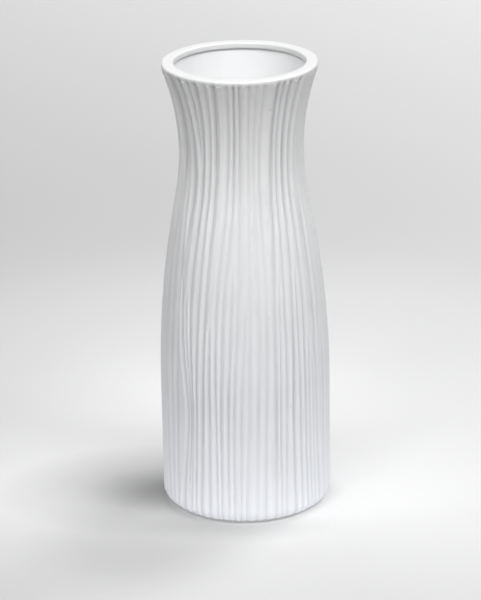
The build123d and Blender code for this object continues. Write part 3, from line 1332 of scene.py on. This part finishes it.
@dataclass(frozen=True)
class FloorPaint:
    """Pale matt paint of the studio floor, with a painted pool of light round the vase, painted shade to
    the left and the front, painted shadows round the foot and a painted glow under the foot's edge.

    Attributes:
        roughness: Roughness of the paint.
        light_pool_centre: Middle of the painted pool of light.
        tone_reach: Distance at which the tones end.
        painted_light_tones: Tones as the floor is seen, from the middle of the painted pool of light out.
        bounce_tones: Tones as it throws light on the vase, from the vase's axis out.
        side_reach: Distance to each side over which the tone changes.
        painted_side_light: How much darker it is painted to the left and brighter to the right, as painted
            shade and painted light.
        front_reach: Places along Y between which it gets darker towards the front.
        painted_front_shade: Share of the tone that the painted shade leaves there.
        far_reach: Distances between which it starts to glow.
        far_glow: Strength of that glow.
        under_foot: Distances between which the painted glow under the foot's edge ends.
        painted_foot_glow: Strength of that painted glow, which lifts the shadow under the foot.
        painted_shadows: Painted shadows, dark patches round the foot.
    """

    roughness: float = 0.9
    light_pool_centre: Point = (-0.02, 0.1, 0.0)
    tone_reach: float = 1.2
    # Painted pool of light: the seen tones are bright near the vase and fall off outwards.
    painted_light_tones: Stops = (
        (0.0, 0.95), (0.042, 0.90), (0.083, 0.83), (0.125, 0.735), (0.167, 0.685), (0.217, 0.64),
        (0.275, 0.58), (0.375, 0.58), (0.5, 0.615), (0.667, 0.655), (0.833, 0.69), (1.0, 0.69),
    )
    bounce_tones: Stops = ((0.0, 0.95), (0.08, 0.95), (0.12, 0.25), (1.0, 0.18))
    side_reach: float = 0.3
    painted_side_light: float = 0.12
    front_reach: Pair = (-0.9, -0.14)
    painted_front_shade: float = 0.75
    far_reach: Pair = (1.1, 2.6)
    far_glow: float = 0.5
    under_foot: Pair = (39.5 * MM, 45.5 * MM)
    painted_foot_glow: float = 0.36
    # Painted shadows: a core beside the foot on the left, a broad one to the front left and a narrow one
    # under the front of the foot.
    painted_shadows: tuple[PaintedShadow, ...] = (
        PaintedShadow(
            (-0.045, 0.006, 0.0), (1.0, 1.5, 1.0), 0.1,
            (
                (0.0, 0.44), (0.1, 0.44), (0.22, 0.50), (0.3, 0.56), (0.37, 0.62), (0.45, 0.70),
                (0.6, 0.80), (0.75, 0.87), (0.9, 0.96), (1.0, 1.0),
            ),
        ),
        PaintedShadow(
            (-0.055, -0.072, 0.0), (1.0, 1.0, 1.0), 0.075,
            ((0.0, 0.81), (0.25, 0.83), (0.45, 0.87), (0.6, 0.92), (0.8, 0.97), (1.0, 1.0)),
        ),
        PaintedShadow(
            (-0.004, -0.045, 0.0), (0.6, 1.5, 1.0), 0.035,
            ((0.0, 0.76), (0.3, 0.79), (0.6, 0.90), (1.0, 1.0)),
        ),
    )

    def material(self) -> Material:
        """Build the material.

        Returns:
            The finished material.
        """
        material, sheet, shader = new_material("StudioFloor")
        place, seen = sheet.place(), sheet.seen()
        reach = sheet.distance(place)
        bounce = sheet.tones(sheet.math("DIVIDE", reach, self.tone_reach), self.bounce_tones)
        # Painted glow: the floor under the foot's edge shines for the camera, so the gap under the foot
        # shows no dark contact shadow.
        foot_glow = sheet.fit(reach, *self.under_foot, (self.painted_foot_glow, 0.0))
        far = sheet.fit(reach, *self.far_reach, (0.0, self.far_glow))
        sheet.feed(shader, {
            "Base Color": sheet.blend(seen, bounce, self.painted_light_tone(sheet, place)),
            "Roughness": self.roughness,
            "Specular IOR Level": 0.0,
            "Emission Color": (1.0, 1.0, 1.0, 1.0),
            "Emission Strength": sheet.math("MULTIPLY", sheet.math("MAXIMUM", foot_glow, far), seen),
        })
        return material

    def painted_light_tone(self, sheet: NodeSheet, place: Socket) -> Socket:
        """Tone of the floor as it is seen: the painted pool of light, the painted side and front shade and
        the painted shadows.

        Args:
            sheet: The sheet that the nodes go into.
            place: The place on the floor.

        Returns:
            The tone's colour.
        """
        across, along = sheet.add("ShaderNodeSeparateXYZ", {0: place}).outputs[:2]
        # Painted shade to the left and the front, painted light to the right.
        ends = (1.0 - self.painted_side_light, 1.0 + self.painted_side_light)
        side = sheet.fit(across, -self.side_reach, self.side_reach, ends)
        front = sheet.fit(along, *self.front_reach, (self.painted_front_shade, 1.0))
        # Painted pool of light, centred just behind the vase.
        away = sheet.math("DIVIDE", sheet.distance(place, self.light_pool_centre), self.tone_reach)
        pool = {0: sheet.tones(away, self.painted_light_tones), "Scale": sheet.math("MULTIPLY", side, front)}
        tone = sheet.get(0, "ShaderNodeVectorMath", pool, operation="SCALE")
        # Each painted shadow darkens the floor's colour round its middle.
        for painted_shadow in self.painted_shadows:
            offset = sheet.vector("SUBTRACT", place, painted_shadow.centre)
            near = sheet.distance(sheet.vector("MULTIPLY", offset, painted_shadow.stretch))
            patch = sheet.tones(sheet.math("DIVIDE", near, painted_shadow.reach), painted_shadow.tones)
            tone = sheet.vector("MULTIPLY", tone, patch)
        return tone


@dataclass
class Studio:
    """The pale floor, the soft light and the camera.

    Attributes:
        floor_radius: Radius of the floor.
        floor_steps: Steps round the floor's edge.
        distance: How far in front of the vase's axis the camera stands.
        height: Height of the camera.
        pitch: Degrees that it looks down.
        yaw: Degrees that it looks to the right.
        roll: Degrees that the picture is turned counter-clockwise.
        lens: Focal length, in millimetres.
        sensor: Width of the sensor, in millimetres.
        room_color: Colour of the room's even light.
        room_light: Strength of that light on the vase.
        room_seen: Strength at which the room is seen and mirrored.
        lamps: The lamps.
    """

    floor_radius: float = 6.0
    floor_steps: int = 96
    distance: float = 1.57534
    height: float = 0.6946
    pitch: float = 20.22
    yaw: float = -0.068
    roll: float = 1.053
    lens: float = 184.43
    sensor: float = 36.0
    room_color: Rgba = (0.98, 0.99, 1.0, 1.0)
    room_light: float = 0.12
    room_seen: float = 0.4
    lamps: tuple[Lamp, ...] = (
        Lamp("front_box", (0.0, -1.6, 2.03), (2.4, 0.7), 39.5),
        Lamp("left_box", (-1.0, -0.88, 2.1), (0.9, 0.9), 12.5),
        Lamp("right_box", (1.2, -1.02, 2.05), (0.9, 0.9), 22.0),
        Lamp("back_right_box", (1.0, 1.0, 1.75), (0.7, 0.7), 11.5, aim=(0.0, 0.0, 0.10)),
        Lamp("back_left_box", (-0.75, 1.5, 1.05), (1.2, 0.8), 7.2, gloss=False),
        Lamp("back_low_box", (0.2, 2.2, 0.35), (1.2, 0.4), 11.0, gloss=False),
    )

    def lay_floor(self) -> None:
        """Lay a round floor with a painted pool of light round the vase."""
        bm = bmesh.new()
        bmesh.ops.create_circle(bm, cap_ends=True, segments=self.floor_steps, radius=self.floor_radius)
        mesh = bpy.data.meshes.new("floor")
        bm.to_mesh(mesh)
        bm.free()
        mesh.materials.append(FloorPaint().material())
        floor = bpy.data.objects.new("floor", mesh)
        bpy.context.scene.collection.objects.link(floor)

    def light(self) -> None:
        """Hang the lamps and give the room an even pale light."""
        for lamp in self.lamps:
            lamp.hang()
        world = bpy.data.worlds.new("studio")
        world.use_nodes = True
        sheet = NodeSheet(world.node_tree)
        strength = sheet.fit(sheet.seen(), 0.0, 1.0, (self.room_light, self.room_seen))
        background = world.node_tree.nodes["Background"]
        sheet.feed(background, {"Color": self.room_color, "Strength": strength})
        bpy.context.scene.world = world

    def set_camera(self) -> None:
        """Set the camera at the photograph's viewing angle."""
        pitch, yaw, roll = (math.radians(a) for a in (self.pitch, self.yaw, self.roll))
        level = Vector((math.cos(yaw), -math.sin(yaw), 0.0))
        facing = Vector((math.sin(yaw), math.cos(yaw), 0.0))
        ahead = math.cos(pitch) * facing + Vector((0.0, 0.0, -math.sin(pitch)))
        upright = level.cross(ahead)
        right = math.cos(roll) * level - math.sin(roll) * upright
        up = math.sin(roll) * level + math.cos(roll) * upright
        data = bpy.data.cameras.new("camera")
        data.lens = self.lens
        data.sensor_width = self.sensor
        camera = bpy.data.objects.new("camera", data)
        turn = Matrix((right, up, -ahead)).transposed().to_4x4()
        camera.matrix_world = Matrix.Translation((0.0, -self.distance, self.height)) @ turn
        bpy.context.scene.collection.objects.link(camera)
        bpy.context.scene.camera = camera
        bpy.context.scene.view_settings.view_transform = "Standard"


def dress_floor(finish: Material) -> None:
    """Give the CAD floor its finish.

    Args:
        finish: Glaze above and clay below.
    """
    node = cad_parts["floor_disc"]
    node.data.materials.clear()
    node.data.materials.append(finish)
    LOG.info("floor_disc: CAD node with %s", finish.name)


def main() -> None:
    """Build the vase's pieces in order, dress them and set the studio round them."""
    logging.basicConfig(level=logging.INFO, format="%(message)s")
    finishes = Finishes.build()
    wall = FlutedWall(Outline.from_frame(), WoodGrain())
    wall.build(WALL_GLAZE.material(finishes))
    LipRing(wall).build(SHADED_LIP_GLAZE.material(finishes))
    SeamCoil().build(SEAM_GLAZE.material(finishes))
    FootPads().build(PadRubber().material())
    low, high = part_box("floor_disc")
    dress_floor(GlazedFloor((low.z + high.z) / 2).material(finishes))
    studio = Studio()
    studio.lay_floor()
    studio.light()
    studio.set_camera()


if __name__ == "__main__":
    main()
